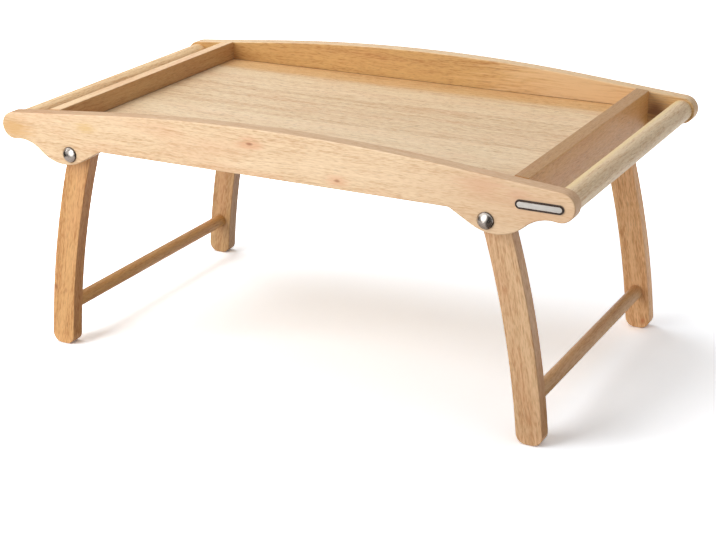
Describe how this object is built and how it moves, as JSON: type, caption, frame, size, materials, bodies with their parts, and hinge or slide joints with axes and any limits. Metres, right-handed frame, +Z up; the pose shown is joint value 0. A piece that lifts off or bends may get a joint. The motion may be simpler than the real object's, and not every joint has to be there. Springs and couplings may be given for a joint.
{
  "type": "bed tray table",
  "caption": "Folding wooden bed tray with arched side boards, a round handle bar at each end and two pairs of curved legs that swing on bolts and fold under the tray.",
  "frame": {"origin": "middle of the tray in plan, on the floor that the feet stand on", "axes": "+X along the tray to its right end, +Y to the back, +Z up"},
  "size_m": [0.6, 0.36, 0.2655],
  "materials": {
    "board_wood": "satin lacquer",
    "rail_wood": "satin lacquer",
    "panel_wood": "satin lacquer",
    "bar_wood": "satin lacquer",
    "leg_wood": "satin lacquer",
    "peg_wood": "bare",
    "nickel_steel": "polished nickel",
    "zinc_steel": "zinc plated"
  },
  "bodies": {
    "tray": {"front_side_board": "board_wood", "back_side_board": "board_wood", "left_end_rail": "rail_wood", "right_end_rail": "rail_wood", "left_rail_pegs": "peg_wood", "right_rail_pegs": "peg_wood", "tray_panel": "panel_wood", "left_handle_bar": "bar_wood", "right_handle_bar": "bar_wood", "front_left_hinge_bolt": "nickel_steel", "front_left_spacer_washer": "zinc_steel", "front_left_nut_washer": "zinc_steel", "front_left_lock_nut": "zinc_steel", "front_right_hinge_bolt": "nickel_steel", "front_right_spacer_washer": "zinc_steel", "front_right_nut_washer": "zinc_steel", "front_right_lock_nut": "zinc_steel", "back_left_hinge_bolt": "nickel_steel", "back_left_spacer_washer": "zinc_steel", "back_left_nut_washer": "zinc_steel", "back_left_lock_nut": "zinc_steel", "back_right_hinge_bolt": "nickel_steel", "back_right_spacer_washer": "zinc_steel", "back_right_nut_washer": "zinc_steel", "back_right_lock_nut": "zinc_steel"},
    "left_leg_frame": {"front_left_leg": "leg_wood", "back_left_leg": "leg_wood", "left_stretcher": "bar_wood"},
    "right_leg_frame": {"front_right_leg": "leg_wood", "back_right_leg": "leg_wood", "right_stretcher": "bar_wood"}
  },
  "joints": [
    {"name": "left_leg_fold", "type": "hinge", "parent": "tray", "child": "left_leg_frame", "pos_m": [-0.2195, 0, 0.2135], "axis": [0, -1, 0], "range_deg": [0, 100]},
    {"name": "right_leg_fold", "type": "hinge", "parent": "tray", "child": "right_leg_frame", "pos_m": [0.2195, 0, 0.2135], "axis": [0, 1, 0], "range_deg": [0, 100]}
  ]
}
